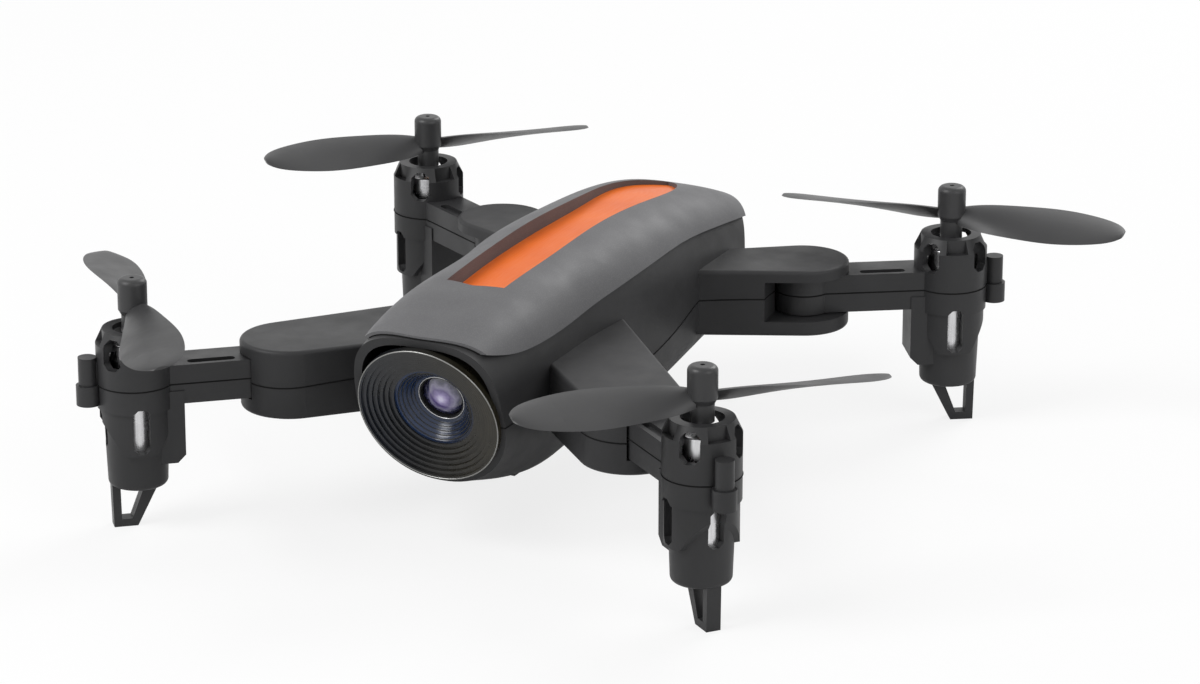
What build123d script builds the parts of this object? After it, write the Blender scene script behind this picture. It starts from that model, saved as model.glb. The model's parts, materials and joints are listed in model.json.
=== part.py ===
from build123d import *
import math
import os

# Mini palm drone with four folding arms.  All sizes are millimetres.
# +Z is up, -Y is the way the drone flies, +X is the drone's left.
# The origin lies on the flat land of the belly, midway between the front and rear motors.

# ---- Heights -----------------------------------------------------------------
FOOT_Z = -9.0            # underside of the four leg loops
SEAM_Z = 13.0            # parting plane of the arms, the ears and the nose
ARM_BOTTOM_Z = 10.0      # flat underside of the arm beam
ARM_TOP_Z = 15.9         # top of the arm beam
EAR_BOTTOM_Z = 7.5       # underside of the hull's arm mounts
EAR_TOP_Z = 17.9         # top of the hull's arm mounts

# ---- Hull --------------------------------------------------------------------
WALL = 1.2               # wall of the belly and of the middle shell
CANOPY_PROUD = 0.5       # how far the canopy stands outside the middle shell
CANOPY_WALL = 1.4        # wall of the canopy
NOSE_Y = -40.5           # centre of the camera ring
NOSE_TILT = 17.0         # degrees that the camera looks down
TAIL_Y = 48.0            # rearmost point of the hull
TAIL_RADIUS = 15.4       # radius of the rounded tail, seen from above
CANOPY_LIP_Y = -43.7     # foremost point of the canopy
CANOPY_LIP_RADIUS = 25.0  # radius of the canopy's front edge, seen from above
# Each station of the hull: y, half width, top, belt height, bottom, upper and lower roundness.
# A roundness of 2 is an ellipse and more is squarer.
HULL_STATIONS = (
    (-50.0, 11.0, 23.6, 13.0, 3.9, 3.2, 2.0),
    (-43.0, 11.5, 25.0, 13.0, 2.5, 3.2, 2.05),
    (-37.0, 12.1, 26.2, 13.0, 1.5, 3.3, 2.15),
    (-30.0, 12.6, 27.2, 13.0, -0.3, 3.3, 2.5),
    (-20.0, 12.6, 28.0, 13.0, -1.0, 3.1, 3.0),
    (-5.0, 13.3, 28.6, 13.0, -1.0, 2.9, 3.0),
    (9.0, 13.9, 28.5, 13.0, -1.0, 2.8, 3.0),
    (22.0, 14.0, 27.6, 13.0, 0.8, 2.8, 2.8),
    (33.0, 14.0, 26.3, 13.0, 2.4, 2.8, 2.6),
    (42.0, 14.0, 24.2, 13.0, 4.4, 2.9, 2.5),
    (52.0, 14.0, 20.2, 13.0, 8.2, 3.0, 2.5),
)
SECTION_POINTS = 28
# Side view of the joint between the canopy and the middle shell: (y, z).
CANOPY_SEAM = ((-60, 25.4), (-44, 24.0), (-38, 22.5), (-29, 21.9), (-20, 21.9), (-4, 22.8),
               (9, 23.2), (19, 23.2), (29, 22.4), (40, 21.1), (60, 18.8))
# Side view of the joint between the middle shell and the belly: (y, z).
BELLY_SEAM = ((-60, SEAM_Z), (-30, SEAM_Z), (-15, SEAM_Z), (-9, 12.0), (-2, 9.4), (6, 9.5),
              (15, 11.3), (21, SEAM_Z), (32, SEAM_Z), (60, SEAM_Z))

# ---- Inlay on the canopy -------------------------------------------------------
INLAY_FRONT_Y = -27.0
INLAY_REAR_Y = 41.0
INLAY_HALF_WIDTH = 4.9
INLAY_THICKNESS = 0.7
POCKET_FLOOR = ((-40, 23.4), (-27, 24.8), (-18, 25.4), (-8, 25.8), (5, 26.0), (18, 25.7), (28, 25.3),
                (36, 24.6), (42, 23.5), (50, 21.6))   # side view of the floor under the inlay: (y, z)

# ---- Arms ----------------------------------------------------------------------
ARM_LENGTH = 22.9        # hinge axis to motor axis
BARREL_RADIUS = 4.3
BEAM_HALF_WIDTH = 3.2
PIN_RADIUS = 1.0
PIN_CLEARANCE = 0.05
PIN_INSET = 0.9          # cover left over each end of a hinge pin
EAR_CLEARANCE = 0.2      # above and below the arm in its slot
SLOT_CLEARANCE = 0.4     # around the arm, seen from above
GROOVE_X = (8.5, 15.5)   # the shallow groove on top of the beam
GROOVE_Y = -1.7
GROOVE_WIDTH = 1.5
GROOVE_DEPTH = 0.6
# Each corner: hinge position, open angle, fold angle, ear radius, ear roots (front, back).
CORNERS = {
    "f": {"hinge": (27.3, -32.0), "open": -39.5, "fold": 118.0, "ear_radius": 7.4,
          "roots": ((11.5, -26.4), (11.5, -1.6))},
    "r": {"hinge": (25.8, 34.4), "open": 32.2, "fold": -116.0, "ear_radius": 7.0,
          "roots": ((12.5, 21.0), (12.5, 33.6))},
}

# ---- Motor pod -------------------------------------------------------------------
CAN_RADIUS = 3.5
CAN_LENGTH = 20.0
CAN_BOTTOM_Z = -0.9
CAN_WALL = 0.4
END_CAP_HEIGHT = 1.0
SHAFT_RADIUS = 0.5
SHAFT_CLEARANCE = 0.05
COIL_RADIUS = CAN_RADIUS - 0.9
CAGE_RADIUS = CAN_RADIUS + 2.1
CAGE_BORE_RADIUS = CAN_RADIUS + 0.8
CAGE_SHOULDER_Z = 19.1   # where the pillars step in to the top ring
CAGE_TOP_Z = 21.2
RING_RADIUS = CAN_RADIUS + 1.1
RING_HOLE_RADIUS = CAN_RADIUS - 0.4
RIB_HALF_ANGLE = 27.0    # half of the arc over which each window frame slopes in
CAGE_WINDOW_WIDTH = 3.0
CAGE_WINDOW_Z = (16.0, 20.5)
CUP_TOP_RADIUS = CAN_RADIUS + 1.4
CUP_BOTTOM_RADIUS = CAN_RADIUS + 0.85
CUP_FLOOR = 1.8
COLLAR_BOTTOM_Z = 9.4
APRON_RADIUS = CAN_RADIUS + 1.8
APRON_BOTTOM_Z = 3.0
APRON_FOOT_HALF_WIDTH = 2.5
SLOT_WINDOW_WIDTH = 2.4
SLOT_WINDOW_Z = (3.4, 10.2)
CHANNEL_REACH = CAN_RADIUS + 3.1
CHANNEL_HALF_WIDTH = CAN_RADIUS - 0.1
CHANNEL_BOTTOM_Z = 1.0
CHANNEL_BEVEL = 1.2
BOSS_OFFSET = CAN_RADIUS + 3.4        # pod axis to screw boss
BOSS_UPPER_RADIUS = 1.35
BOSS_LOWER_RADIUS = 1.75
BOSS_TOP_Z = 17.2
LEG_THICKNESS = 2.2
LEG_BAR = 1.15
LEG_OUTER_X = 3.9
LEG_FOOT_X = 0.4
LEG_INNER_X = -3.0

# ---- Propeller -------------------------------------------------------------------
PROP_RADIUS = 27.5
PROP_Z = 24.0            # mid height of the blades
HUB_RADIUS = 2.15
HUB_TOP_Z = 28.7
HUB_NECK_Z = 24.0
SKIRT_RADIUS = 1.7
SKIRT_BOTTOM_Z = 20.6
# Blade stations: share of the radius, chord, pitch in degrees, thickness.
BLADE_STATIONS = (
    (0.050, 3.4, 40.0, 1.20),
    (0.110, 4.4, 38.0, 1.10),
    (0.290, 6.5, 30.0, 1.00),
    (0.510, 8.6, 21.0, 0.90),
    (0.700, 9.2, 16.0, 0.80),
    (0.870, 7.7, 12.5, 0.70),
    (0.955, 5.2, 11.5, 0.60),
    (0.995, 2.2, 11.0, 0.45),
)
# Rest angle of each propeller in degrees from +X, and the way it turns seen from above.
PROPELLERS = {"fl": (44.0, "cw"), "fr": (129.0, "ccw"), "rl": (3.0, "ccw"), "rr": (46.5, "cw")}

# ---- Camera ----------------------------------------------------------------------
BEZEL_RADIUS = 11.1
BEZEL_SPIGOT_RADIUS = BEZEL_RADIUS - 0.8
BEZEL_RIM = 0.9
BEZEL_STEPS = 6
BEZEL_STEP_DEPTH = 0.32
BEZEL_BACK = -2.8
BOWL_RADIUS = 6.3
BARREL_OUTER = 3.7
LENS_RADIUS = 3.3
LENS_FACE = -3.6
CAMERA_BACK = -12.0
CAMERA_BOARD = 12.0

# ---- Inside ----------------------------------------------------------------------
BATTERY = (12.0, 20.0, 6.8)
BATTERY_Y = -14.0
BATTERY_Z = 2.2
HATCH = (BATTERY[0] + 1.6, BATTERY[1] + 4.4, 1.0)
HATCH_Y = -15.2
HATCH_SCREW_Y = -25.8
HATCH_GAP = 0.1
BOARD_Z = 11.0
BOARD_THICKNESS = 1.0
BOARD_HALF_WIDTH = 10.2
BOARD_Y = (-20.0, 31.0)
BOARD_TAIL_HALF_WIDTH = 6.0
BOARD_TAIL_Y = 42.0
POST_POINTS = ((9.3, -17.0), (9.3, 28.0))
POST_RADIUS = 1.2
BOARD_SCREW_RADIUS = 0.5
BODY_SCREW_POINTS = ((17.0, -18.0), (17.5, 28.5))   # in the ears, up from below
BODY_SCREW_RADIUS = 0.85
BODY_SCREW_HEAD = (1.5, 1.0)
BODY_BOSS_RADIUS = 2.3
BUTTON_RADIUS = 2.2
BUTTON_FLANGE = (2.9, 0.8)
BUTTON_PROUD = 0.8
BUTTON_GAP = 0.3
BUTTON_TRAVEL = 0.6
SWITCH = (4.5, 3.4, 3.6)

FAR = 90.0               # larger than the drone


# ---- Helpers -----------------------------------------------------------------------
def slab(x, y, z):
    """Box from three (low, high) pairs."""
    size = [high - low for low, high in (x, y, z)]
    return Pos(x[0], y[0], z[0]) * Box(*size, align=(Align.MIN, Align.MIN, Align.MIN))


def rod(radius, bottom, top, at=(0.0, 0.0)):
    """Upright cylinder between two heights."""
    base = (Align.CENTER, Align.CENTER, Align.MIN)
    return Pos(at[0], at[1], bottom) * Cylinder(radius, top - bottom, align=base)


def raised(face, bottom, top):
    """A flat outline on the XY plane, extruded between two heights."""
    return Pos(0, 0, bottom) * extrude(face, top - bottom, dir=(0, 0, 1))


def mirrored(shape):
    """The same piece on the drone's right."""
    return mirror(shape, about=Plane.YZ)


def both_sides(shape):
    return [shape, mirrored(shape)]


def fused(shapes):
    total = shapes[0]
    for shape in shapes[1:]:
        total += shape
    return total


def turned(profile):
    """Solid of revolution about Z from a closed (radius, height) polygon."""
    outline = Polyline(*[(r, 0, z) for r, z in profile], close=True)
    return revolve(make_face(outline), axis=Axis.Z)


def polar(centre, distance, degrees):
    angle = math.radians(degrees)
    return (centre[0] + distance * math.cos(angle), centre[1] + distance * math.sin(angle))


# ---- Hull --------------------------------------------------------------------------
def hull_section(station, grow):
    """One cross-section of the hull, a superellipse that is squarer above the belt."""
    y, half_width, top, belt, bottom, upper, lower = station
    points = []
    for step in range(SECTION_POINTS):
        angle = 2 * math.pi * step / SECTION_POINTS
        roundness = upper if math.sin(angle) >= 0 else lower
        height = top + grow - belt if math.sin(angle) >= 0 else belt - bottom + grow
        across = math.copysign(abs(math.cos(angle)) ** (2 / roundness), math.cos(angle))
        upward = math.copysign(abs(math.sin(angle)) ** (2 / roundness), math.sin(angle))
        points.append((across * (half_width + grow), y, belt + upward * height))
    return make_face(Spline(*points, periodic=True))


def tail_plan(grow):
    """Everything ahead of the rounded tail."""
    centre_y = TAIL_Y - TAIL_RADIUS
    round_end = rod(TAIL_RADIUS + grow, -FAR, FAR, (0, centre_y))
    return round_end + slab((-FAR, FAR), (-FAR, centre_y), (-FAR, FAR))


def hull(grow):
    """The solid hull, grown or shrunk all round."""
    body = loft([hull_section(station, grow) for station in HULL_STATIONS])
    return body & tail_plan(grow)


def above(side_line):
    """Everything above a line drawn in side view."""
    line = Spline(*[(0, y, z) for y, z in side_line])
    (first_y, first_z), (last_y, last_z) = side_line[0], side_line[-1]
    rest = Polyline((0, last_y, last_z), (0, last_y, FAR), (0, first_y, FAR), (0, first_y, first_z))
    return extrude(make_face([line, rest]), FAR / 2, dir=(1, 0, 0), both=True)


NOSE = Plane(
    origin=(0, NOSE_Y, SEAM_Z),
    x_dir=(1, 0, 0),
    z_dir=(0, -math.cos(math.radians(NOSE_TILT)), -math.sin(math.radians(NOSE_TILT))),
).location


def on_nose(shape):
    """Places a piece whose +Z looks out of the camera ring."""
    return NOSE * shape


# ---- Ears: the hull's arm mounts -----------------------------------------------------
def tangent_point(point, centre, radius, side):
    """Where the tangent from a point touches a circle."""
    dx, dy = point[0] - centre[0], point[1] - centre[1]
    swing = math.degrees(math.acos(radius / math.hypot(dx, dy)))
    return polar(centre, radius, math.degrees(math.atan2(dy, dx)) + side * swing)


def ear_outline(corner, inset=0.0):
    hinge, (front, back) = corner["hinge"], corner["roots"]
    radius = corner["ear_radius"] - inset
    front = (front[0], front[1] + inset)
    back = (back[0], back[1] - inset)
    points = [(0, front[1]), front, tangent_point(front, hinge, radius, 1),
              tangent_point(back, hinge, radius, -1), back, (0, back[1])]
    return make_face(Polyline(*points, close=True)) + Pos(*hinge) * Circle(radius)


def slot_outline(corner, grow=0.0):
    """Seen from above, the room that the arm needs between open and folded."""
    hinge = corner["hinge"]
    half = BEAM_HALF_WIDTH + SLOT_CLEARANCE + grow
    reach = 2.2 * corner["ear_radius"]
    start = min(corner["open"], corner["open"] + corner["fold"])
    sweep = abs(corner["fold"])
    first, last = polar((0, 0), reach, start), polar((0, 0), reach, start + sweep)
    arc = CenterArc((0, 0), reach, start, sweep)
    room = make_face([Line((0, 0), first), arc, Line(last, (0, 0))])
    room += Circle(BARREL_RADIUS + SLOT_CLEARANCE + grow)
    for angle in (start, start + sweep):
        lane = Rectangle(reach, 2 * half, align=(Align.MIN, Align.CENTER))
        room += Rot(0, 0, angle) * lane
    return Pos(*hinge) * room


def ear_block(corner):
    block = raised(ear_outline(corner), EAR_BOTTOM_Z, EAR_TOP_Z)
    rims = block.faces().sort_by(Axis.Z)
    return fillet(rims[0].edges() + rims[-1].edges(), 0.6)


def slot_heights():
    return ARM_BOTTOM_Z - EAR_CLEARANCE, ARM_TOP_Z + EAR_CLEARANCE


def ear_rooms(corner):
    """The arm's slot and the wire passage from the hull into the ear."""
    slot = raised(slot_outline(corner), *slot_heights())
    passage = raised(ear_outline(corner, inset=1.6 * WALL), *slot_heights())
    passage -= raised(slot_outline(corner, grow=WALL), -FAR, FAR)
    return slot + passage


def hinge_pin(corner):
    return rod(PIN_RADIUS, EAR_BOTTOM_Z + PIN_INSET, EAR_TOP_Z - PIN_INSET, corner["hinge"])


# ---- Shells --------------------------------------------------------------------------
def canopy_region():
    """Where the canopy takes over from the middle shell."""
    centre_y = CANOPY_LIP_Y + CANOPY_LIP_RADIUS
    plan = rod(CANOPY_LIP_RADIUS, -FAR, FAR, (0, centre_y))
    plan += slab((-FAR, FAR), (centre_y, FAR), (-FAR, FAR))
    return above(CANOPY_SEAM) & plan


def inside_room():
    """The hollow of the hull, open at the nose."""
    room = hull(-WALL)
    return room - slab((-FAR, FAR), (-FAR, FAR), (-FAR, WALL))


def pedestal(point, radius, bottom, top):
    return both_sides(rod(radius, bottom, top, point))


def body_shell():
    """Belly and middle shell as one, before they are parted."""
    nose_front = on_nose(slab((-FAR, FAR), (-FAR, FAR), (0, FAR)))
    outside = hull(0.0) - slab((-FAR, FAR), (-FAR, FAR), (-FAR, 0)) - nose_front - canopy_region()
    room = inside_room()
    shell = outside
    for corner in CORNERS.values():
        for ear in both_sides(ear_block(corner)):
            shell += ear
    shell -= room
    for corner in CORNERS.values():
        for cut in both_sides(ear_rooms(corner)) + both_sides(hinge_pin(corner)):
            shell -= cut
    shell += fused([boss & outside for boss in inner_bosses()] + ear_bosses())
    shell += hatch_frame() & outside
    shell -= on_nose(rod(BEZEL_SPIGOT_RADIUS, -4, FAR))
    return shell - fused(shell_cuts())


def inner_bosses():
    """Board posts and the hatch's screw boss, which rise from the belly."""
    bosses = []
    for point in POST_POINTS:
        bosses += pedestal(point, POST_RADIUS, 0, BOARD_Z)
    bosses.append(rod(1.8, 0, 5.5, (0, HATCH_SCREW_Y)))
    return bosses


def ear_bosses():
    """Screw bosses inside the ears, from the underside to the top."""
    bosses = []
    for point in BODY_SCREW_POINTS:
        bosses += pedestal(point, BODY_BOSS_RADIUS, EAR_BOTTOM_Z + WALL / 2, EAR_TOP_Z - WALL / 2)
    return bosses


def hatch_frame():
    """The thick rim that the battery hatch sits in."""
    rim = WALL
    half, long_half = HATCH[0] / 2 + rim, HATCH[1] / 2 + rim
    frame_top = HATCH[2] + WALL
    return slab((-half, half), (HATCH_Y - long_half, HATCH_Y + long_half), (0, frame_top))


def hatch_blank(grow, bottom, top):
    half, long_half = HATCH[0] / 2 + grow, HATCH[1] / 2 + grow
    return slab((-half, half), (HATCH_Y - long_half, HATCH_Y + long_half), (bottom, top))


def button_height():
    return BOARD_Z + BOARD_THICKNESS + SWITCH[2] / 2


def tail_rod(radius, front, back):
    """Cylinder along Y through the tail at the button's height."""
    upright = rod(radius, front, back)
    return Pos(0, 0, button_height()) * Rot(-90, 0, 0) * upright


def shell_cuts():
    """Hatch recess and opening, screw holes and the button's hole."""
    battery_half = BATTERY[0] / 2 + HATCH_GAP * 2
    battery_y = (BATTERY_Y - BATTERY[1] / 2 - 0.3, BATTERY_Y + BATTERY[1] / 2 + 0.3)
    cuts = [hatch_blank(HATCH_GAP, -1, HATCH[2])]
    cuts.append(slab((-battery_half, battery_half), battery_y, (-1, BATTERY_Z + 1)))
    cuts.append(tail_rod(BUTTON_RADIUS + BUTTON_GAP, TAIL_Y - 2 * WALL, FAR))
    for x, y in BODY_SCREW_POINTS:
        head_top = SEAM_Z - 3.0
        cuts += pedestal((x, y), BODY_SCREW_HEAD[0] + 0.15, -1, head_top)
        cuts += pedestal((x, y), BODY_SCREW_RADIUS, -1, SEAM_Z + 4.5)
    for point in POST_POINTS:
        cuts += pedestal(point, BOARD_SCREW_RADIUS, BOARD_Z - 3.0, BOARD_Z + 1)
    cuts.append(rod(0.7, -1, 4.8, (0, HATCH_SCREW_Y)))
    return cuts


def belly_shell(shell):
    return shell - above(BELLY_SEAM)


def middle_shell(shell):
    return shell & above(BELLY_SEAM)


def inlay_outline(grow=0.0):
    """Blunt at the front and drawn to a rounded point at the rear."""
    half = INLAY_HALF_WIDTH + grow
    front, rear = INLAY_FRONT_Y - grow, INLAY_REAR_Y + grow
    corner = (0.94 * half, front + 1.0)
    side = Spline(corner, (half, front + 14), (half, 0.5 * rear), (0.55 * half, rear - 3.0), (0, rear))
    nose = Line((0, front), corner)
    right = make_face([nose, side, Line((0, rear), (0, front))])
    return right + mirror(right, about=Plane.YZ)


def canopy():
    outer = hull(CANOPY_PROUD) & canopy_region()
    inner = hull(CANOPY_PROUD - CANOPY_WALL)
    shell = outer - inner
    lowered = tuple((y, z - WALL) for y, z in POCKET_FLOOR)
    tray = raised(inlay_outline(WALL), 0, FAR) & above(lowered) & outer
    return shell + tray - (raised(inlay_outline(), 0, FAR) & above(POCKET_FLOOR))


def top_inlay():
    lifted = tuple((y, z + INLAY_THICKNESS) for y, z in POCKET_FLOOR)
    plate = raised(inlay_outline(), 0, FAR / 2) & above(POCKET_FLOOR)
    return plate - above(lifted)


# ---- Arm: built along +X from the hinge, then placed -----------------------------------
def pod(shape):
    """Moves a piece from the motor's axis to its place on the arm."""
    return Pos(ARM_LENGTH, 0, 0) * shape


def arm_stick(bottom, top):
    """Hinge barrel and beam between two heights."""
    beam = slab((0, ARM_LENGTH), (-BEAM_HALF_WIDTH, BEAM_HALF_WIDTH), (bottom, top))
    return rod(BARREL_RADIUS, bottom, top) + beam


def arm_bores():
    """The hinge bore and the wire duct inside the beam."""
    duct = slab((BARREL_RADIUS + 1, ARM_LENGTH), (-1.2, 1.2), (SEAM_Z - 1.6, SEAM_Z + 1.2))
    return rod(PIN_RADIUS + PIN_CLEARANCE, -FAR, FAR) + duct


def radial_windows(width, heights, angles, inner, outer):
    """Openings cut outwards from the motor's axis."""
    opening = slab((inner, outer), (-width / 2, width / 2), heights)
    opening = chamfer(opening.edges().filter_by(Axis.X), 0.28 * width)
    return fused([Rot(0, 0, angle) * opening for angle in angles])


def arm_upper_shell():
    cage = rod(CAGE_RADIUS, SEAM_Z, CAGE_SHOULDER_Z) + rod(RING_RADIUS, SEAM_Z, CAGE_TOP_Z)
    slope = Pos(0, 0, CAGE_SHOULDER_Z) * Cone(
        CAGE_RADIUS, RING_RADIUS, CAGE_TOP_Z - CAGE_SHOULDER_Z,
        align=(Align.CENTER, Align.CENTER, Align.MIN))
    for corner_angle in (45, 135, 225, 315):
        start = corner_angle - RIB_HALF_ANGLE
        edges = [Line((0, 0), polar((0, 0), 9, start)),
                 CenterArc((0, 0), 9, start, 2 * RIB_HALF_ANGLE),
                 Line(polar((0, 0), 9, start + 2 * RIB_HALF_ANGLE), (0, 0))]
        cage += slope & raised(make_face(edges), 0, FAR)
    cage += rod(BOSS_UPPER_RADIUS, SEAM_Z, BOSS_TOP_Z, (BOSS_OFFSET, 0))
    cage += slab((CAGE_BORE_RADIUS, BOSS_OFFSET), (-0.6, 0.6), (SEAM_Z, BOSS_TOP_Z - 0.8))
    shell = arm_stick(SEAM_Z, ARM_TOP_Z) + pod(cage)
    groove = slab(GROOVE_X, (GROOVE_Y - GROOVE_WIDTH / 2, GROOVE_Y + GROOVE_WIDTH / 2),
                  (ARM_TOP_Z - GROOVE_DEPTH, FAR))
    groove = fillet(groove.edges().filter_by(Axis.Z), 0.45 * GROOVE_WIDTH)
    can_top = CAN_BOTTOM_Z + CAN_LENGTH
    cuts = rod(CAGE_BORE_RADIUS, 0, can_top - 1.0) + rod(CAN_RADIUS, 0, can_top)
    cuts += rod(RING_HOLE_RADIUS, 0, FAR)
    cuts += radial_windows(CAGE_WINDOW_WIDTH, CAGE_WINDOW_Z, (45, 135, 225, 315), 0, 9)
    cuts += rod(0.6, 0, BOSS_TOP_Z - 0.8, (BOSS_OFFSET, 0))
    return shell - arm_bores() - groove - pod(cuts)


def leg_loop():
    """The wire-like landing loop under the cup, in the arm's own plane."""
    top = CAN_BOTTOM_Z - CUP_FLOOR + 1.0
    outer = [(LEG_OUTER_X + 0.15, top), (LEG_OUTER_X, FOOT_Z), (LEG_FOOT_X, FOOT_Z),
             (LEG_INNER_X, top - 0.6), (LEG_INNER_X - 0.6, top)]
    inner = [(LEG_OUTER_X - LEG_BAR + 0.1, top), (LEG_OUTER_X - LEG_BAR, FOOT_Z + LEG_BAR),
             (LEG_FOOT_X + 0.7 * LEG_BAR, FOOT_Z + LEG_BAR), (LEG_INNER_X + 1.6 * LEG_BAR, top)]
    loops = []
    for points in (outer, inner):
        face = make_face(Polyline(*[(x, 0, z) for x, z in points], close=True))
        loops.append(extrude(face, LEG_THICKNESS / 2, dir=(0, 1, 0), both=True))
    return loops[0] - loops[1]


def arm_lower_shell():
    cup_bottom = CAN_BOTTOM_Z - CUP_FLOOR
    cup = Pos(0, 0, cup_bottom) * Cone(CUP_BOTTOM_RADIUS, CUP_TOP_RADIUS, SEAM_Z - cup_bottom,
                                       align=(Align.CENTER, Align.CENTER, Align.MIN))
    cup = fillet(cup.edges().sort_by(Axis.Z)[0], 0.8)
    flare = [(-APRON_RADIUS - 1, COLLAR_BOTTOM_Z), (-APRON_FOOT_HALF_WIDTH, APRON_BOTTOM_Z),
             (APRON_FOOT_HALF_WIDTH, APRON_BOTTOM_Z), (APRON_RADIUS + 1, COLLAR_BOTTOM_Z)]
    wedge = make_face(Polyline(*[(x, 0, z) for x, z in flare], close=True))
    apron = extrude(wedge, FAR / 2, dir=(0, 1, 0), both=True)
    apron = rod(APRON_RADIUS, APRON_BOTTOM_Z, COLLAR_BOTTOM_Z) & apron
    collar = rod(CAGE_RADIUS, COLLAR_BOTTOM_Z, SEAM_Z)
    channel = slab((-CHANNEL_REACH, 0), (-CHANNEL_HALF_WIDTH, CHANNEL_HALF_WIDTH),
                   (CHANNEL_BOTTOM_Z, SEAM_Z - 1.0))
    low_edge = channel.edges().filter_by(Axis.Y).group_by(Axis.Z)[0].sort_by(Axis.X)[0]
    channel = chamfer(low_edge, CHANNEL_BEVEL)
    boss = rod(BOSS_LOWER_RADIUS, ARM_BOTTOM_Z, SEAM_Z, (BOSS_OFFSET, 0))
    boss += slab((CAN_RADIUS, BOSS_OFFSET), (-1.0, 1.0), (ARM_BOTTOM_Z, SEAM_Z))
    shell = arm_stick(ARM_BOTTOM_Z, SEAM_Z)
    shell += pod(fused([cup, apron, collar, channel, boss, leg_loop()]))
    cuts = rod(CAN_RADIUS, CAN_BOTTOM_Z, FAR)
    cuts += radial_windows(SLOT_WINDOW_WIDTH, SLOT_WINDOW_Z, (90, 270), 0, 9)
    cuts += radial_windows(SLOT_WINDOW_WIDTH, (SLOT_WINDOW_Z[0], ARM_BOTTOM_Z - 0.8), (0,), 0, 9)
    cuts += rod(1.1, ARM_BOTTOM_Z - 1, ARM_BOTTOM_Z + 0.8, (BOSS_OFFSET, 0))
    cuts += rod(0.6, ARM_BOTTOM_Z - 1, FAR, (BOSS_OFFSET, 0))
    return shell - arm_bores() - pod(cuts)


def arm_screw():
    head = rod(1.1, ARM_BOTTOM_Z, ARM_BOTTOM_Z + 0.8, (BOSS_OFFSET, 0))
    return pod(head + rod(0.6, ARM_BOTTOM_Z + 0.8, BOSS_TOP_Z - 1.4, (BOSS_OFFSET, 0)))


def motor_can():
    top = CAN_BOTTOM_Z + CAN_LENGTH
    can = rod(CAN_RADIUS, CAN_BOTTOM_Z, top)
    can -= rod(CAN_RADIUS - CAN_WALL, CAN_BOTTOM_Z, top - 0.6)
    can = fillet(can.edges().sort_by(Axis.Z)[-1], 0.3)
    can += rod(1.2, top - 1.6, top + 0.3)
    return pod(can - rod(SHAFT_RADIUS + SHAFT_CLEARANCE, 0, FAR))


def motor_end_cap():
    cap = rod(CAN_RADIUS - CAN_WALL, CAN_BOTTOM_Z, CAN_BOTTOM_Z + END_CAP_HEIGHT)
    return pod(cap + rod(1.0, CAN_BOTTOM_Z, CAN_BOTTOM_Z + END_CAP_HEIGHT + 0.8))


def motor_rotor():
    """The wound coil and its shaft, which turn inside the can."""
    low = CAN_BOTTOM_Z + END_CAP_HEIGHT + 1.2
    high = CAN_BOTTOM_Z + CAN_LENGTH - 2.0
    coil = rod(COIL_RADIUS, low, high)
    return pod(coil + rod(SHAFT_RADIUS, low, HUB_TOP_Z - 1.6))


# ---- Propeller: built on its own axis ------------------------------------------------
def blade_section(station):
    """A thin lens across the blade, leading edge up, for a propeller that turns clockwise."""
    share, chord, pitch, thickness = station
    half, rise = chord / 2, thickness / 2
    upper = ThreePointArc((-half, 0), (0, 1.4 * rise), (half, 0))
    lower = ThreePointArc((half, 0), (0, -0.6 * rise), (-half, 0))
    face = make_face([upper, lower])
    across = Plane(origin=(share * PROP_RADIUS, 0, PROP_Z), x_dir=(0, 1, 0), z_dir=(1, 0, 0))
    return across.location * Rot(0, 0, -pitch) * face


def propeller():
    """Two pitched blades on a domed hub that turns clockwise seen from above."""
    blade = loft([blade_section(station) for station in BLADE_STATIONS])
    hub = rod(HUB_RADIUS, HUB_NECK_Z, HUB_TOP_Z)
    hub = fillet(hub.edges().sort_by(Axis.Z)[-1], 0.4 * HUB_RADIUS)
    neck = Pos(0, 0, HUB_NECK_Z - 0.8) * Cone(SKIRT_RADIUS, HUB_RADIUS, 0.8,
                                              align=(Align.CENTER, Align.CENTER, Align.MIN))
    skirt = rod(SKIRT_RADIUS, SKIRT_BOTTOM_Z, HUB_NECK_Z)
    body = hub + neck + skirt + blade + Rot(0, 0, 180) * blade
    body -= rod(SHAFT_RADIUS + SHAFT_CLEARANCE, 0, HUB_TOP_Z - 1.5)
    return body - rod(0.35, HUB_TOP_Z - 0.5, HUB_TOP_Z + 1)


# ---- Camera: built with +Z looking out of the nose --------------------------------------
def nose_bezel():
    """Stepped ring that covers the front edge of the shells."""
    step = (BEZEL_RADIUS - 0.5 - BOWL_RADIUS) / BEZEL_STEPS
    profile = [(BEZEL_RADIUS, 0), (BEZEL_RADIUS, BEZEL_RIM), (BEZEL_RADIUS - 0.5, BEZEL_RIM)]
    for index in range(BEZEL_STEPS):
        radius = BEZEL_RADIUS - 0.5 - index * step
        depth = BEZEL_RIM - (index + 1) * BEZEL_STEP_DEPTH
        profile += [(radius, depth), (radius - step, depth)]
    profile += [(BOWL_RADIUS, BEZEL_BACK), (BEZEL_SPIGOT_RADIUS, BEZEL_BACK), (BEZEL_SPIGOT_RADIUS, 0)]
    return on_nose(turned(profile))


def lens_cone():
    front = BEZEL_RIM - BEZEL_STEPS * BEZEL_STEP_DEPTH - 0.3
    back = LENS_FACE - 2.6
    profile = [(BOWL_RADIUS, front), (BOWL_RADIUS - 0.4, front), (BARREL_OUTER + 0.4, LENS_FACE + 0.2),
               (BARREL_OUTER, LENS_FACE), (BARREL_OUTER, back), (BOWL_RADIUS, back)]
    return on_nose(turned(profile))


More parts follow.
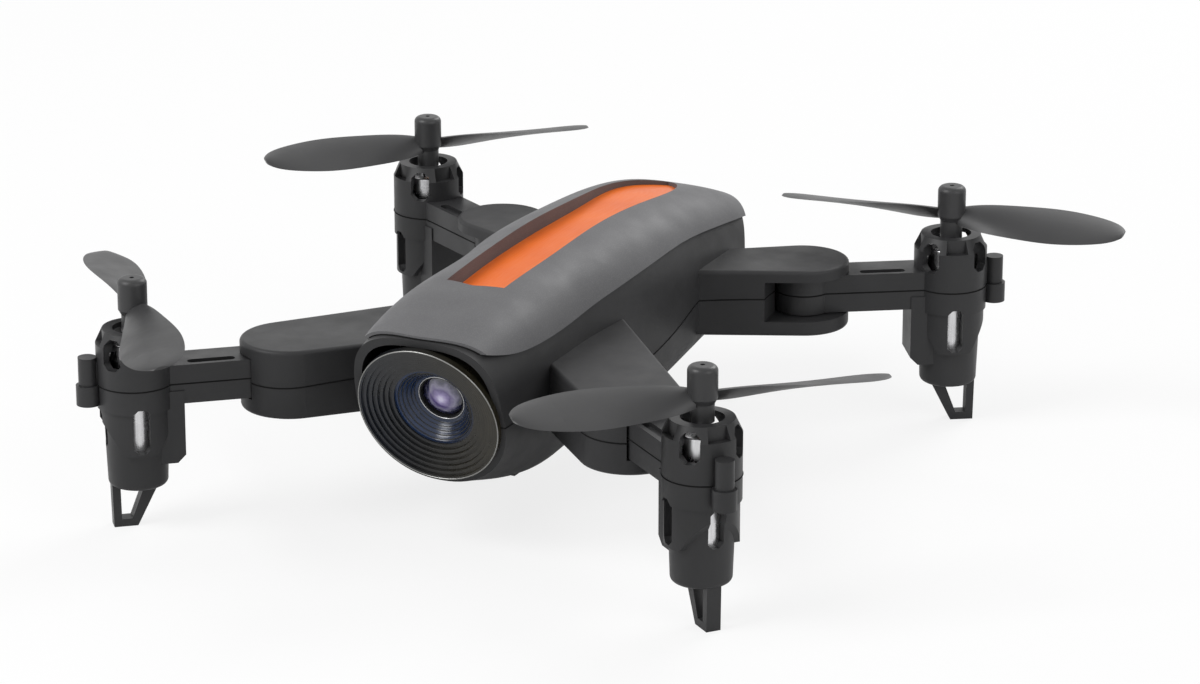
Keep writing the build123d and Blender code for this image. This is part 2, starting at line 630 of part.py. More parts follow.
def camera_barrel():
    front = LENS_FACE - 0.1
    profile = [(LENS_RADIUS, front), (BARREL_OUTER, front), (BARREL_OUTER, CAMERA_BACK),
               (LENS_RADIUS - 0.7, CAMERA_BACK), (LENS_RADIUS - 0.7, front - 1.8), (LENS_RADIUS, front - 1.8)]
    return on_nose(turned(profile))


def front_lens():
    seat, edge = LENS_FACE - 1.9, LENS_FACE - 0.5
    curve = 2.0 * LENS_RADIUS
    dome = Pos(0, 0, edge + 0.7 - curve) * Sphere(curve)
    return on_nose(rod(LENS_RADIUS, seat, edge + 0.7) & dome)


def inner_lens():
    return on_nose(rod(LENS_RADIUS - 0.7, LENS_FACE - 4.6, LENS_FACE - 3.2))


def camera_board():
    half = CAMERA_BOARD / 2
    plate = slab((-half, half), (-half, half), (CAMERA_BACK - 1.0, CAMERA_BACK))
    sensor = slab((-1.7, 1.7), (-1.7, 1.7), (CAMERA_BACK, CAMERA_BACK + 0.8))
    return on_nose(plate + sensor)


# ---- Inside pieces ---------------------------------------------------------------------
def battery_cell():
    cell = Pos(0, BATTERY_Y, BATTERY_Z) * Box(*BATTERY, align=(Align.CENTER, Align.CENTER, Align.MIN))
    return fillet(cell.edges().filter_by(Axis.Y), 1.5)


def battery_pad():
    half, long_half = 0.4 * BATTERY[0], 0.4 * BATTERY[1]
    middle = max(BATTERY_Y, BOARD_Y[0] + long_half)
    return slab((-half, half), (middle - long_half, middle + long_half), (BATTERY_Z + BATTERY[2], BOARD_Z))


def battery_hatch():
    plate = hatch_blank(0, 0, HATCH[2])
    cuts = rod(1.4, -1, 0.6, (0, HATCH_SCREW_Y)) + rod(0.7, -1, FAR, (0, HATCH_SCREW_Y))
    grip = [slab((-3, 3), (y - 0.3, y + 0.3), (-1, 0.35)) for y in (-9.0, -7.6, -6.2)]
    return plate - cuts - fused(grip)


def hatch_screw():
    return rod(1.35, 0.05, 0.6, (0, HATCH_SCREW_Y)) + rod(0.7, 0.6, 4.6, (0, HATCH_SCREW_Y))


def main_board():
    top = BOARD_Z + BOARD_THICKNESS
    board = slab((-BOARD_HALF_WIDTH, BOARD_HALF_WIDTH), BOARD_Y, (BOARD_Z, top))
    board += slab((-BOARD_TAIL_HALF_WIDTH, BOARD_TAIL_HALF_WIDTH), (BOARD_Y[1] - 1, BOARD_TAIL_Y), (BOARD_Z, top))
    for point in POST_POINTS:
        for hole in pedestal(point, BOARD_SCREW_RADIUS, 0, FAR):
            board -= hole
    return board


def board_screws():
    top = BOARD_Z + BOARD_THICKNESS
    screws = []
    for point in POST_POINTS:
        screw = rod(BOARD_SCREW_RADIUS, BOARD_Z - 2.8, top, point) + rod(1.0, top, top + 0.6, point)
        screws += both_sides(screw)
    return Compound(screws)


def chip(size, at):
    top = BOARD_Z + BOARD_THICKNESS
    return Pos(at[0], at[1], top) * Box(*size, align=(Align.CENTER, Align.CENTER, Align.MIN))


def motor_drivers():
    return Compound([chip((3.0, 2.6, 1.0), (x, y)) for x in (-7.0, 7.0) for y in (-10.0, 22.0)])


def tact_switch():
    height = button_height()
    front = BOARD_TAIL_Y - SWITCH[1]
    body = slab((-SWITCH[0] / 2, SWITCH[0] / 2), (front, BOARD_TAIL_Y),
                (height - SWITCH[2] / 2, height + SWITCH[2] / 2))
    return body + tail_rod(1.2, BOARD_TAIL_Y, button_front() - BUTTON_TRAVEL - BUTTON_GAP)


def button_front():
    """The face of the button that presses the switch."""
    return TAIL_Y - WALL - BUTTON_GAP - BUTTON_FLANGE[1]


def power_button():
    cap = tail_rod(BUTTON_RADIUS, button_front(), TAIL_Y + BUTTON_PROUD)
    cap = fillet(cap.edges().sort_by(Axis.Y)[-1], 0.4)
    return cap + tail_rod(BUTTON_FLANGE[0], button_front(), button_front() + BUTTON_FLANGE[1])


def hinge_pins():
    pins = []
    for corner in CORNERS.values():
        pins += both_sides(hinge_pin(corner))
    return Compound(pins)


def body_screws():
    screws = []
    head_top = SEAM_Z - 3.0
    for point in BODY_SCREW_POINTS:
        screw = rod(BODY_SCREW_RADIUS, head_top - 0.5, SEAM_Z + 4.0, point)
        screw += rod(BODY_SCREW_HEAD[0], head_top - BODY_SCREW_HEAD[1], head_top, point)
        screws += both_sides(screw)
    return Compound(screws)


# ---- Assembly --------------------------------------------------------------------------
def placed_on_arm(shape, corner, side):
    """Turns an arm piece to its open angle and puts it on its hinge."""
    piece = Pos(*corner["hinge"], 0) * Rot(0, 0, corner["open"]) * shape
    return piece if side == "l" else mirrored(piece)


def placed_propeller(name, corner):
    angle, sense = PROPELLERS[name]
    x, y = polar(corner["hinge"], ARM_LENGTH, corner["open"])
    if name.endswith("r"):
        x = -x
    shape = propeller()
    if sense == "ccw":
        shape = mirror(shape, about=Plane.XZ)
    return Pos(x, y, 0) * Rot(0, 0, angle) * shape


def write(shape, node):
    export_step(shape, f"parts/{node}.step")
    print(node)


def main():
    os.makedirs("parts", exist_ok=True)
    shell = body_shell()
    write(belly_shell(shell), "belly_shell")
    write(middle_shell(shell), "middle_shell")
    write(chip((6.0, 6.0, 0.9), (0, 8.0)), "flight_chip")
    makers = (canopy, top_inlay, nose_bezel, lens_cone, camera_barrel, front_lens, inner_lens,
              camera_board, battery_cell, battery_pad, battery_hatch, hatch_screw, main_board,
              board_screws, motor_drivers, tact_switch, power_button, hinge_pins, body_screws)
    for maker in makers:
        write(maker(), maker.__name__)
    arm_makers = (arm_upper_shell, arm_lower_shell, arm_screw, motor_can, motor_end_cap, motor_rotor)
    for maker in arm_makers:
        shape = maker()
        for end, corner in CORNERS.items():
            for side in "lr":
                write(placed_on_arm(shape, corner, side), f"{maker.__name__}_{end}{side}")
    for name in PROPELLERS:
        write(placed_propeller(name, CORNERS[name[0]]), f"propeller_{name}")


main()
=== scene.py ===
import json
import math

import bmesh
import bpy
from mathutils import Matrix, Vector
from mathutils.bvhtree import BVHTree


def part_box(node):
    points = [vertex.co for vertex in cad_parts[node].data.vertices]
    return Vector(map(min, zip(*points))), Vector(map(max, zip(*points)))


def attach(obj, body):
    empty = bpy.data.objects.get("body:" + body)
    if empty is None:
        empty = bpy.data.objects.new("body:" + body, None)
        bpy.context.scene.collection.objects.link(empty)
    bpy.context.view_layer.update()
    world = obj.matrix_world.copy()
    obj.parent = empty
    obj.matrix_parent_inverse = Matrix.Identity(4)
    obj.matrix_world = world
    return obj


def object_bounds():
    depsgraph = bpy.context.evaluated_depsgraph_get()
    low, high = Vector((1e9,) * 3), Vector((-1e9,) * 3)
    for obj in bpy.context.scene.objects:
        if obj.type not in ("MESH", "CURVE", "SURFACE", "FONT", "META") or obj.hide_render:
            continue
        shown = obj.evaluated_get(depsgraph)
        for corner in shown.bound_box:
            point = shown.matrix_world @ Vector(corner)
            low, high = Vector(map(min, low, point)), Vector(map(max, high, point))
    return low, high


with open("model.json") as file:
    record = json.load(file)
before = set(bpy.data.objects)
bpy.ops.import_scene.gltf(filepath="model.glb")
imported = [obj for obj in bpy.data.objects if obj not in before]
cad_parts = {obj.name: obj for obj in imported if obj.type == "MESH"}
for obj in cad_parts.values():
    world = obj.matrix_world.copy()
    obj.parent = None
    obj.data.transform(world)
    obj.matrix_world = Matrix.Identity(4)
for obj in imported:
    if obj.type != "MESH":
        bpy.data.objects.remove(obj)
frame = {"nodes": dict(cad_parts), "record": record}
cad_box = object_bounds()

# %% [markdown]
# # A mini palm drone
# The maker's drawings give every piece of this little drone at its real size: two hull shells, a
# canopy, a camera ring, four folding arms and four propellers.  This lesson takes those pieces as
# they are and gives them their finish.  Everything is in metres, in the drawings' own frame: +Z is
# up, -Y is the way the drone flies and +X is its left.  First come a few words and sizes that every
# later cell uses.

# %% names and sizes
MM = 0.001
CORNERS = ("fl", "fr", "rl", "rr")
FLOOR_Z = cad_box[0][2]
NOSE_CENTRE = Vector((0.0, -40.5, 13.0)) * MM
NOSE_TILT = math.radians(17.0)
NOSE_TURN = math.pi / 2 + NOSE_TILT
LENS_CENTRE_DEPTH = -3.6 * MM
RING_RADIUS = 11.1 * MM
BOWL_RADIUS = 6.3 * MM
LENS_RADIUS = 3.3 * MM
print("floor at", round(FLOOR_Z / MM, 2), "mm, pieces", len(frame["nodes"]))

# %% [markdown]
# ## The view
# A long lens a good half metre away keeps the drone's proportions calm, as in a shop's picture.
# The camera is placed by its position and by the direction it looks in, so no constraint is left
# behind.  Standard view transform shows each colour as it is written in its material.

# %% camera
CAMERA_PLACE = Vector((0.28661, -0.59095, 0.23399))
CAMERA_AZIMUTH = math.radians(25.28)
CAMERA_ELEVATION = math.radians(18.745)
LENS_MM = 138.96


def add_camera():
    """A camera that looks along an azimuth and down by an elevation."""
    data = bpy.data.cameras.new("view_camera")
    data.lens = LENS_MM
    data.sensor_width = 36.0
    data.clip_start = 0.01
    camera = bpy.data.objects.new("view_camera", data)
    bpy.context.scene.collection.objects.link(camera)
    turn = Matrix.Rotation(CAMERA_AZIMUTH, 4, "Z") @ Matrix.Rotation(math.pi / 2 - CAMERA_ELEVATION, 4, "X")
    camera.matrix_world = Matrix.Translation(CAMERA_PLACE) @ turn
    bpy.context.scene.camera = camera
    return camera


add_camera()
bpy.context.scene.view_settings.view_transform = "Standard"
print("camera looks down by", round(math.degrees(CAMERA_ELEVATION), 1), "degrees")

# %% [markdown]
# ## Node helpers
# Every finish below is a small tree of shader nodes.  Two helpers keep the trees short: one adds a
# node and fills in its sockets, the other joins two sockets.  All patterns read Object coordinates,
# so they sit still on each piece when an arm folds or a propeller turns.

# %% node helpers
WHITE = (1.0, 1.0, 1.0, 1.0)


def add(tree, kind, settings=None, **sockets):
    """Adds a node; settings are its own properties and sockets are input values."""
    node = tree.nodes.new(kind)
    for key, value in (settings or {}).items():
        setattr(node, key, value)
    for key, value in sockets.items():
        node.inputs[key.replace("_", " ")].default_value = value
    return node


def join(tree, out_socket, in_socket):
    tree.links.new(out_socket, in_socket)


def rgba(colour, gain=1.0):
    return tuple(min(1.0, part * gain) for part in colour) + (1.0,)


# %% [markdown]
# ## Studio
# The drone stands on a pale sheet under soft light from the upper left, with a weaker lamp at the
# right to lift the shadow side.  The white surround is a colour that only the camera, mirror-like
# surfaces and clear ones see, so it doesn't pour more light on the object.  The floor keeps part of
# its plain shading, and with it the drone's shadow.

# %% world
AMBIENT = 0.42


def seen_directly(tree):
    """1 for rays from the camera, from glossy and from clear surfaces, else 0."""
    path = add(tree, "ShaderNodeLightPath")
    first = add(tree, "ShaderNodeMath", {"operation": "MAXIMUM"})
    second = add(tree, "ShaderNodeMath", {"operation": "MAXIMUM"})
    join(tree, path.outputs["Is Camera Ray"], first.inputs[0])
    join(tree, path.outputs["Is Glossy Ray"], first.inputs[1])
    join(tree, first.outputs[0], second.inputs[0])
    join(tree, path.outputs["Is Transmission Ray"], second.inputs[1])
    return second.outputs[0]


def set_world():
    world = bpy.data.worlds.new("studio")
    world.use_nodes = True
    bpy.context.scene.world = world
    tree = world.node_tree
    soft = tree.nodes["Background"]
    soft.inputs["Color"].default_value = WHITE
    soft.inputs["Strength"].default_value = AMBIENT
    bright = add(tree, "ShaderNodeBackground", Color=WHITE, Strength=1.0)
    mix = add(tree, "ShaderNodeMixShader")
    join(tree, seen_directly(tree), mix.inputs[0])
    join(tree, soft.outputs[0], mix.inputs[1])
    join(tree, bright.outputs[0], mix.inputs[2])
    join(tree, mix.outputs[0], tree.nodes["World Output"].inputs["Surface"])


set_world()
print("ambient level", AMBIENT)

# %% floor
FLOOR_RADIUS = 2.5
FLOOR_GLOW = 0.8


def floor_material():
    made = bpy.data.materials.new("pale_floor")
    made.use_nodes = True
    tree = made.node_tree
    shader = tree.nodes["Principled BSDF"]
    shader.inputs["Base Color"].default_value = (0.86, 0.86, 0.86, 1.0)
    shader.inputs["Roughness"].default_value = 0.9
    glow = add(tree, "ShaderNodeEmission", Color=WHITE, Strength=1.0)
    share = add(tree, "ShaderNodeMath", {"operation": "MULTIPLY"})
    share.inputs[1].default_value = FLOOR_GLOW
    path = add(tree, "ShaderNodeLightPath")
    mix = add(tree, "ShaderNodeMixShader")
    join(tree, path.outputs["Is Camera Ray"], share.inputs[0])
    join(tree, share.outputs[0], mix.inputs[0])
    join(tree, shader.outputs[0], mix.inputs[1])
    join(tree, glow.outputs[0], mix.inputs[2])
    join(tree, mix.outputs[0], tree.nodes["Material Output"].inputs["Surface"])
    return made


def add_floor():
    made = bmesh.new()
    bmesh.ops.create_circle(made, cap_ends=True, segments=96, radius=FLOOR_RADIUS)
    bmesh.ops.translate(made, verts=made.verts, vec=(0, 0, FLOOR_Z - 0.02 * MM))
    mesh = bpy.data.meshes.new("floor")
    made.to_mesh(mesh)
    made.free()
    floor = bpy.data.objects.new("floor", mesh)
    bpy.context.scene.collection.objects.link(floor)
    mesh.materials.append(floor_material())


add_floor()

# %% lamps
LAMPS = {  # name: place, size, watts
    "key": ((-0.42, -0.50, 0.62), 0.45, 5.2),
    "fill": ((0.75, -0.25, 0.35), 0.50, 1.5),
    "back": ((0.15, 0.70, 0.55), 0.40, 3.0),
}


def add_lamp(name, place, size, watts):
    data = bpy.data.lights.new(name, "AREA")
    data.size = size
    data.energy = watts
    lamp = bpy.data.objects.new(name, data)
    bpy.context.scene.collection.objects.link(lamp)
    aim = (Vector((0, 0, 10 * MM)) - Vector(place)).to_track_quat("-Z", "Y")
    lamp.matrix_world = Matrix.Translation(place) @ aim.to_matrix().to_4x4()


for lamp_name, (lamp_place, lamp_size, lamp_watts) in LAMPS.items():
    add_lamp(lamp_name, lamp_place, lamp_size, lamp_watts)
print("lamps", list(LAMPS))

# %% [markdown]
# ## Moulded plastic
# Most of the drone is injection-moulded ABS.  Up close it isn't one flat colour: the tool leaves a
# fine spark-eroded grain, the tone drifts a little over the length of a piece, and fingers polish
# some patches more than others.  So one function builds all the plastics from three noises: a fine
# one for the grain's bump, a broad one for the tone and a middling one for the gloss.

# %% plastic
def object_place(tree, centre=(0, 0, 0), turn=(0, 0, 0), stretch=(1, 1, 1)):
    """Object coordinates, seen from a centre, turned and stretched."""
    source = add(tree, "ShaderNodeTexCoord")
    local = add(tree, "ShaderNodeMapping", {"vector_type": "TEXTURE"})
    local.inputs["Location"].default_value = centre
    local.inputs["Rotation"].default_value = turn
    local.inputs["Scale"].default_value = stretch
    join(tree, source.outputs["Object"], local.inputs["Vector"])
    return local.outputs["Vector"]


def noise(tree, place, size, detail=2.0):
    """A noise whose lumps are about that size, in metres."""
    lumps = add(tree, "ShaderNodeTexNoise", Scale=1.0 / size, Detail=detail)
    join(tree, place, lumps.inputs["Vector"])
    return lumps.outputs["Fac"]


def spread(tree, value, low, high):
    """Stretches the middle of a noise over low to high."""
    scaled = add(tree, "ShaderNodeMapRange")
    for index, number in ((1, 0.3), (2, 0.7), (3, low), (4, high)):
        scaled.inputs[index].default_value = number
    join(tree, value, scaled.inputs[0])
    return scaled.outputs[0]


def mixed(tree, factor, first, second):
    """A colour between two, by a factor socket."""
    blend = add(tree, "ShaderNodeMix", {"data_type": "RGBA"})
    join(tree, factor, blend.inputs[0])
    for socket, colour in ((blend.inputs[6], first), (blend.inputs[7], second)):
        if isinstance(colour, bpy.types.NodeSocket):
            join(tree, colour, socket)
        else:
            socket.default_value = colour
    return blend.outputs[2]


def bump(tree, shader, height, depth, strength=1.0, before=None):
    """Raises the surface by up to depth metres where height is 1."""
    relief = add(tree, "ShaderNodeBump", Strength=strength, Distance=depth)
    join(tree, height, relief.inputs["Height"])
    if before is not None:
        join(tree, before.outputs[0], relief.inputs["Normal"])
    join(tree, relief.outputs[0], shader.inputs["Normal"])
    return relief


def new_material(name, slot_gloss=0.3):
    made = bpy.data.materials.new(name)
    made.use_nodes = True
    shader = made.node_tree.nodes["Principled BSDF"]
    shader.inputs["Specular IOR Level"].default_value = slot_gloss
    return made, made.node_tree, shader


def plastic(name, colour, gloss=(0.42, 0.55), grain=0.16, depth=0.012, drift=0.14, flecks=0.0, shine=0.3):
    """Moulded plastic: grain and depth in millimetres, drift is the change of tone."""
    made, tree, shader = new_material(name, shine)
    place = object_place(tree)
    tone = mixed(tree, spread(tree, noise(tree, place, 14 * MM, 3.0), 0, 1),
                 rgba(colour, 1 - drift), rgba(colour, 1 + drift))
    if flecks:
        dots = add(tree, "ShaderNodeTexVoronoi", Scale=1 / (0.22 * MM))
        join(tree, place, dots.inputs["Vector"])
        near = add(tree, "ShaderNodeMapRange")
        for index, number in ((1, 0.05), (2, 0.45), (3, flecks), (4, 0.0)):
            near.inputs[index].default_value = number
        join(tree, dots.outputs["Distance"], near.inputs[0])
        tone = mixed(tree, near.outputs[0], tone, rgba(colour, 2.6))
    join(tree, tone, shader.inputs["Base Color"])
    join(tree, spread(tree, noise(tree, place, 5 * MM, 4.0), *gloss), shader.inputs["Roughness"])
    bump(tree, shader, noise(tree, place, grain * MM, 3.0), depth * MM, 0.6)
    return made


FINISH = {
    "canopy_grey": plastic("canopy_grey", (0.105, 0.105, 0.109), (0.46, 0.58), 0.2, 0.02, 0.08, 0.22, 0.25),
    "shell_black": plastic("shell_black", (0.026, 0.026, 0.027), (0.40, 0.54), 0.16, 0.014, 0.16, 0.05, 0.24),
    "arm_black": plastic("arm_black", (0.023, 0.023, 0.024), (0.34, 0.50), 0.14, 0.010, 0.15, 0.04, 0.3),
    "prop_black": plastic("prop_black", (0.032, 0.032, 0.033), (0.34, 0.46), 0.10, 0.006, 0.12, 0.03, 0.34),
    "cap_white": plastic("cap_white", (0.72, 0.72, 0.68), (0.38, 0.5), 0.3, 0.008, 0.04),
    "chip_black": plastic("chip_black", (0.02, 0.02, 0.02), (0.5, 0.7), 0.08, 0.006, 0.1),
    "foam_grey": plastic("foam_grey", (0.08, 0.08, 0.08), (0.85, 0.95), 0.4, 0.12, 0.2),
    "seam_dark": plastic("seam_dark", (0.006, 0.006, 0.006), (0.7, 0.9), 0.2, 0.004, 0.2, 0.0, 0.1),
    # near-black painted shade for the screws' cross recesses
    "recess_painted_shade": plastic("recess_painted_shade", (0.004, 0.004, 0.004), (0.6, 0.8), 0.1, 0.004, 0.2, 0.0, 0.1),
}
print("plastics", len(FINISH))

# %% [markdown]
# ## The orange inlay
# The bright strip in the canopy is a printed film under a clear coat.  Its colour is even, so the
# surface tells the story: the slight orange-peel of the coat, and a few hairline wipe marks that run
# along the strip.  It stays bare.

# %% inlay
def inlay_film():
    made, tree, shader = new_material("orange_inlay", 0.2)
    place = object_place(tree)
    along = object_place(tree, stretch=(1, 40, 1))
    tone = mixed(tree, spread(tree, noise(tree, place, 9 * MM, 2.0), 0, 1),
                 (0.74, 0.125, 0.003, 1), (0.82, 0.155, 0.005, 1))
    wipes = spread(tree, noise(tree, along, 0.12 * MM, 1.0), 0.30, 0.42)
    join(tree, tone, shader.inputs["Base Color"])
    join(tree, wipes, shader.inputs["Roughness"])
    shader.inputs["Coat Weight"].default_value = 0.06
    shader.inputs["Coat Roughness"].default_value = 0.2
    bump(tree, shader, noise(tree, place, 0.9 * MM, 1.0), 0.01 * MM, 0.4)
    return made


FINISH["orange_inlay"] = inlay_film()

# %% [markdown]
# ## Camera ring, bowl and glass
# The ring round the camera is turned: glossy black with very fine concentric grooves, with a painted
# reflection, faint olive on one side and blue on the other, and a painted blue one at the bowl's left.
# The pattern is a wave of the distance from the ring's own axis, so a Mapping node first moves and
# tilts the coordinates onto the nose.  The front lens is drawn the same way: a painted reflection of
# its coating, pale in the middle and violet further out, and black at the rim over the dark barrel.

# %% ring patterns
def nose_parts(tree):
    """Coordinates on the nose's axis, and the distance from that axis."""
    place = object_place(tree, NOSE_CENTRE, (NOSE_TURN, 0, 0))
    parts = add(tree, "ShaderNodeSeparateXYZ")
    flat = add(tree, "ShaderNodeVectorMath", {"operation": "MULTIPLY"})
    flat.inputs[1].default_value = (1, 1, 0)
    length = add(tree, "ShaderNodeVectorMath", {"operation": "LENGTH"})
    join(tree, place, parts.inputs[0])
    join(tree, place, flat.inputs[0])
    join(tree, flat.outputs[0], length.inputs[0])
    return place, parts, length.outputs["Value"]


def ripples(tree, distance, pitch):
    """A wave of the distance that repeats every pitch metres."""
    scaled = add(tree, "ShaderNodeMath", {"operation": "MULTIPLY"})
    scaled.inputs[1].default_value = 2 * math.pi / pitch
    wave = add(tree, "ShaderNodeMath", {"operation": "SINE"})
    join(tree, distance, scaled.inputs[0])
    join(tree, scaled.outputs[0], wave.inputs[0])
    return wave.outputs[0]


def ranged(tree, value, from_low, from_high, to_low=0.0, to_high=1.0):
    scaled = add(tree, "ShaderNodeMapRange")
    for index, number in ((1, from_low), (2, from_high), (3, to_low), (4, to_high)):
        scaled.inputs[index].default_value = number
    join(tree, value, scaled.inputs[0])
    return scaled.outputs[0]


# %% ring and bowl
def turned_black(name, left, right, pitch, depth, roughness):
    """Glossy turned plastic with a painted reflection whose colour goes from left to right across the nose."""
    made, tree, shader = new_material(name, 0.5)
    place, parts, distance = nose_parts(tree)
    across = ranged(tree, parts.outputs["X"], -RING_RADIUS, RING_RADIUS)
    # painted reflection: the colour goes from left to right across the nose
    painted_reflection_tint = mixed(tree, across, rgba(left), rgba(right))
    worn = mixed(tree, spread(tree, noise(tree, place, 1.2 * MM, 3.0), 0.0, 0.35), painted_reflection_tint, (0.002, 0.002, 0.002, 1))
    join(tree, worn, shader.inputs["Base Color"])
    join(tree, spread(tree, noise(tree, place, 3 * MM), *roughness), shader.inputs["Roughness"])
    bump(tree, shader, ripples(tree, distance, pitch), depth, 0.5)
    return made


# left and right are painted reflection colours: blue to olive across the ring, blue at the bowl's left
FINISH["bezel_black"] = turned_black("bezel_black", (0.006, 0.009, 0.016), (0.024, 0.020, 0.010),
                                     0.30 * MM, 0.012 * MM, (0.24, 0.36))
FINISH["bowl_black"] = turned_black("bowl_black", (0.010, 0.034, 0.105), (0.008, 0.008, 0.012),
                                    0.45 * MM, 0.02 * MM, (0.2, 0.3))


# %% lens glass
def coated_glass(name, reflection_stops):
    """Glass over a dark barrel with a painted reflection of its coating: the stops are (share of the radius,
    colour).
    """
    made, tree, shader = new_material(name, 0.6)
    place, parts, distance = nose_parts(tree)
    share = ranged(tree, distance, 0.0, LENS_RADIUS)
    # the ramp paints the coating's reflection, and it ends in the black of the barrel
    ramp = add(tree, "ShaderNodeValToRGB")
    elements = ramp.color_ramp.elements
    elements[0].position, elements[0].color = reflection_stops[0][0], rgba(reflection_stops[0][1])
    elements[1].position, elements[1].color = reflection_stops[-1][0], rgba(reflection_stops[-1][1])
    for position, colour in reflection_stops[1:-1]:
        elements.new(position).color = rgba(colour)
    wobble = add(tree, "ShaderNodeMath", {"operation": "ADD"})
    join(tree, share, wobble.inputs[0])
    join(tree, spread(tree, noise(tree, place, 1.4 * MM, 2.0), -0.10, 0.10), wobble.inputs[1])
    join(tree, wobble.outputs[0], ramp.inputs[0])
    join(tree, ramp.outputs[0], shader.inputs["Base Color"])
    shader.inputs["Roughness"].default_value = 0.05
    shader.inputs["Coat Weight"].default_value = 1.0
    shader.inputs["Coat Roughness"].default_value = 0.02
    return made


# painted reflections: pale and violet with a light ring on the front lens, blue on the inner lens, black at the
# rims
FINISH["front_glass"] = coated_glass("front_glass", (
    (0.0, (0.62, 0.58, 0.78)), (0.22, (0.30, 0.24, 0.48)), (0.45, (0.10, 0.07, 0.22)),
    (0.62, (0.24, 0.22, 0.34)), (0.78, (0.03, 0.03, 0.08)), (1.0, (0.004, 0.004, 0.008))))
FINISH["inner_glass"] = coated_glass("inner_glass", (
    (0.0, (0.2, 0.3, 0.5)), (0.5, (0.05, 0.06, 0.2)), (1.0, (0.01, 0.01, 0.02))))
FINISH["barrel_black"] = plastic("barrel_black", (0.01, 0.01, 0.01), (0.5, 0.7), 0.2, 0.01, 0.2)

# %% [markdown]
# ## Metals, boards and battery
# The motor cans are drawn steel, so their fine lines run along the can, which a noise stretched
# along Z gives.  Screws and pins are the same recipe in darker steel, and the coil is copper wire
# laid in turns, a wave along the motor's axis.  The boards have green mask over copper tracks, and
# the battery is a crinkled foil pouch.

# %% metal
def steel(name, colour, stretch, roughness, lines=0.12, depth=0.006):
    """Drawn or turned metal with fine lines along its stretched axis."""
    made, tree, shader = new_material(name, 0.5)
    along = object_place(tree, stretch=stretch)
    place = object_place(tree)
    fine = noise(tree, along, lines * MM, 2.0)
    tone = mixed(tree, spread(tree, fine, 0, 1), rgba(colour, 0.86), rgba(colour, 1.1))
    join(tree, tone, shader.inputs["Base Color"])
    join(tree, spread(tree, noise(tree, place, 3 * MM, 3.0), *roughness), shader.inputs["Roughness"])
    shader.inputs["Metallic"].default_value = 1.0
    bump(tree, shader, fine, depth * MM, 0.35)
    return made


def copper_coil():
    made, tree, shader = new_material("rotor_copper", 0.5)
    place = object_place(tree)
    parts = add(tree, "ShaderNodeSeparateXYZ")
    join(tree, place, parts.inputs[0])
    turns = ripples(tree, parts.outputs["Z"], 0.25 * MM)
    # the wave paints the grooves between the turns darker and their crests lighter: painted shade and highlight
    tone = mixed(tree, ranged(tree, turns, -1, 1), (0.32, 0.13, 0.05, 1), (0.66, 0.33, 0.15, 1))
    join(tree, tone, shader.inputs["Base Color"])
    shader.inputs["Metallic"].default_value = 1.0
    shader.inputs["Roughness"].default_value = 0.3
    bump(tree, shader, turns, 0.06 * MM, 0.6)
    return made


FINISH["motor_silver"] = steel("motor_silver", (0.66, 0.66, 0.67), (1, 1, 30), (0.2, 0.32))
FINISH["screw_steel"] = steel("screw_steel", (0.30, 0.30, 0.31), (1, 1, 0.3), (0.3, 0.45))
FINISH["pin_steel"] = steel("pin_steel", (0.55, 0.55, 0.56), (1, 1, 20), (0.2, 0.3))
FINISH["switch_metal"] = steel("switch_metal", (0.5, 0.5, 0.5), (20, 1, 1), (0.3, 0.4))
FINISH["rim_metal"] = steel("rim_metal", (0.30, 0.30, 0.29), (1, 1, 1), (0.3, 0.4))
FINISH["rotor_copper"] = copper_coil()


# %% boards and battery
def circuit_board():
    made, tree, shader = new_material("board_green", 0.5)
    place = object_place(tree)
    tracks = add(tree, "ShaderNodeTexBrick", {"offset": 0.35}, Scale=1 / (3.2 * MM),
                 Mortar_Size=0.07, Color1=(0.016, 0.10, 0.05, 1), Color2=(0.02, 0.13, 0.06, 1),
                 Mortar=(0.05, 0.22, 0.09, 1))
    join(tree, place, tracks.inputs["Vector"])
    join(tree, tracks.outputs["Color"], shader.inputs["Base Color"])
    join(tree, spread(tree, noise(tree, place, 2 * MM), 0.28, 0.4), shader.inputs["Roughness"])
    bump(tree, shader, tracks.outputs["Fac"], 0.035 * MM, 0.5)
    return made


def foil_pouch():
    made, tree, shader = new_material("battery_foil", 0.5)
    place = object_place(tree)
    creases = add(tree, "ShaderNodeTexVoronoi", {"feature": "DISTANCE_TO_EDGE"}, Scale=1 / (3 * MM))
    join(tree, place, creases.inputs["Vector"])
    tone = mixed(tree, spread(tree, noise(tree, place, 4 * MM, 3.0), 0, 1), (0.26, 0.27, 0.29, 1), (0.38, 0.39, 0.41, 1))
    join(tree, tone, shader.inputs["Base Color"])
    shader.inputs["Metallic"].default_value = 0.7
    shader.inputs["Roughness"].default_value = 0.36
    bump(tree, shader, creases.outputs["Distance"], 0.15 * MM, 0.5)
    return made


FINISH["board_green"] = circuit_board()
FINISH["battery_foil"] = foil_pouch()

# %% [markdown]
# ## Each piece gets its finish
# The record names a material slot for every piece.  Most slots are one finish; the glass is split,
# because the front lens and the one behind it are coated differently, and the bowl round the lens is
# shinier than the barrel.

# %% paint
SPECIAL = {"front_lens": "front_glass", "inner_lens": "inner_glass", "lens_cone": "bowl_black"}
SLOT_OF = {entry["node"]: entry["material_slot"] for entry in frame["record"]["subparts"]}


def paint(node, piece):
    finish = FINISH[SPECIAL.get(node, SLOT_OF[node])]
    piece.data.materials.clear()
    piece.data.materials.append(finish)


for node_name, node_piece in frame["nodes"].items():
    paint(node_name, node_piece)
print("painted", len(frame["nodes"]), "pieces")

# %% [markdown]
# ## Beads and parting lines
# Where two mouldings meet there is a fine dark line.  It is too thin to see as a gap in the
# drawings, so it is laid on as a hair-thin dark bead along the edge that the two pieces share.
# Geometry Nodes suit this: the guide is a mesh of bare edges, Mesh to Curve chains them up and Curve
# to Mesh runs a round profile along them.  The same tree makes the thin rings in the camera.

